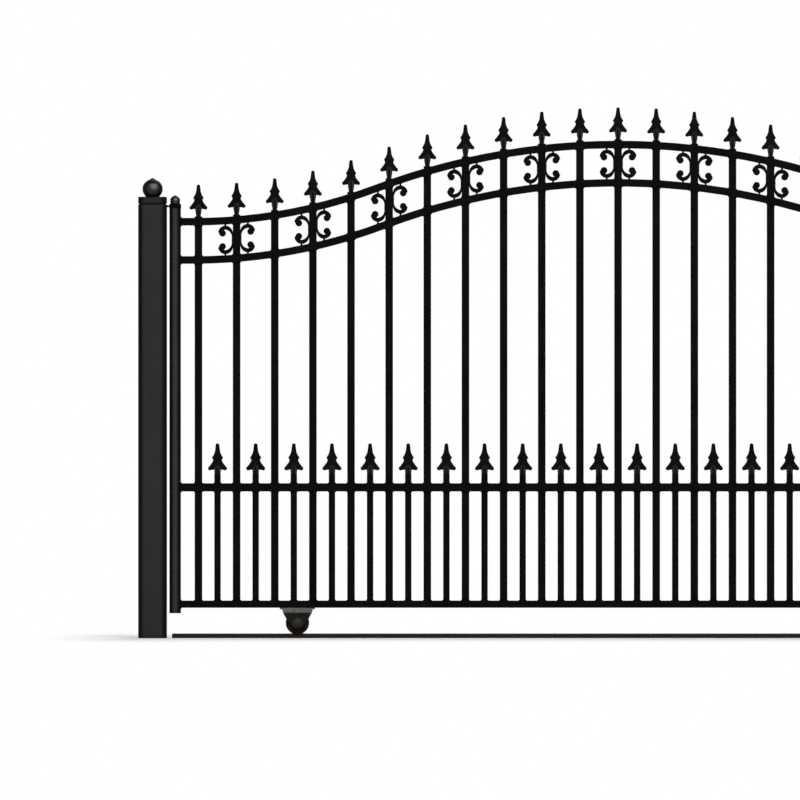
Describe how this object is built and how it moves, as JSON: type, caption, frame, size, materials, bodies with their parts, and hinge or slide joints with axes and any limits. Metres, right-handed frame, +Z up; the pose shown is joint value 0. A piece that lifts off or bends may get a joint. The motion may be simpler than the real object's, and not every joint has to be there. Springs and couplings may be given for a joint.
{
  "type": "sliding driveway gate",
  "caption": "Arched steel driveway gate leaf with spear finials and C-scrolls, rolling on grooved wheels along a ground track between square posts with ball caps.",
  "frame": {"origin": "middle of the left post's foot, on the ground", "axes": "+X along the gate, the way the leaf opens; +Y from the front of the leaf to its back; +Z up"},
  "size_m": [5.861, 0.23, 1.8573],
  "materials": {
    "black_coat": "satin black powder coat on steel tube",
    "black_cast": "black paint on cast iron",
    "track_steel": "dark rolled steel, worn on its head",
    "zinc_plate": "dull zinc-plated steel",
    "wheel_iron": "dark iron with thin rust",
    "roller_nylon": "black nylon"
  },
  "bodies": {
    "posts_and_track": {"left_post": "black_coat", "left_post_cap": "black_coat", "left_post_ball": "black_cast", "right_post": "black_coat", "right_post_cap": "black_coat", "right_post_ball": "black_cast", "ground_track": "track_steel", "track_stop": "track_steel", "closing_stop": "black_cast", "guide_bracket": "black_coat", "guide_rollers": "roller_nylon"},
    "leaf": {"left_stile": "black_coat", "right_stile": "black_coat", "left_stile_cap": "black_cast", "right_stile_cap": "black_cast", "bottom_rail": "black_coat", "mid_rail": "black_coat", "lower_arch_rail": "black_coat", "upper_arch_rail": "black_coat", "tall_pickets": "black_coat", "short_pickets": "black_coat", "tall_finials": "black_cast", "short_finials": "black_cast", "scrolls": "black_cast", "guide_channel": "black_coat", "left_wheel_bracket": "zinc_plate", "right_wheel_bracket": "zinc_plate", "left_wheel_axle": "zinc_plate", "right_wheel_axle": "zinc_plate"},
    "left_wheel": {"left_wheel": "wheel_iron"},
    "right_wheel": {"right_wheel": "wheel_iron"}
  },
  "joints": [
    {"name": "leaf_slide", "type": "slide", "parent": "posts_and_track", "child": "leaf", "axis": [1, 0, 0], "range_m": [0, 3]},
    {"name": "left_wheel_spin", "type": "hinge", "parent": "leaf", "child": "left_wheel", "pos_m": [0.507, 0, 0.0533], "axis": [0, 1, 0], "range_deg": [0, 4645.6]},
    {"name": "right_wheel_spin", "type": "hinge", "parent": "leaf", "child": "right_wheel", "pos_m": [2.751, 0, 0.0533], "axis": [0, 1, 0], "range_deg": [0, 4645.6]}
  ],
  "couplings": [
    {"joint": "left_wheel_spin", "follows": "leaf_slide", "rad_per_m": 27.027},
    {"joint": "right_wheel_spin", "follows": "leaf_slide", "rad_per_m": 27.027}
  ]
}
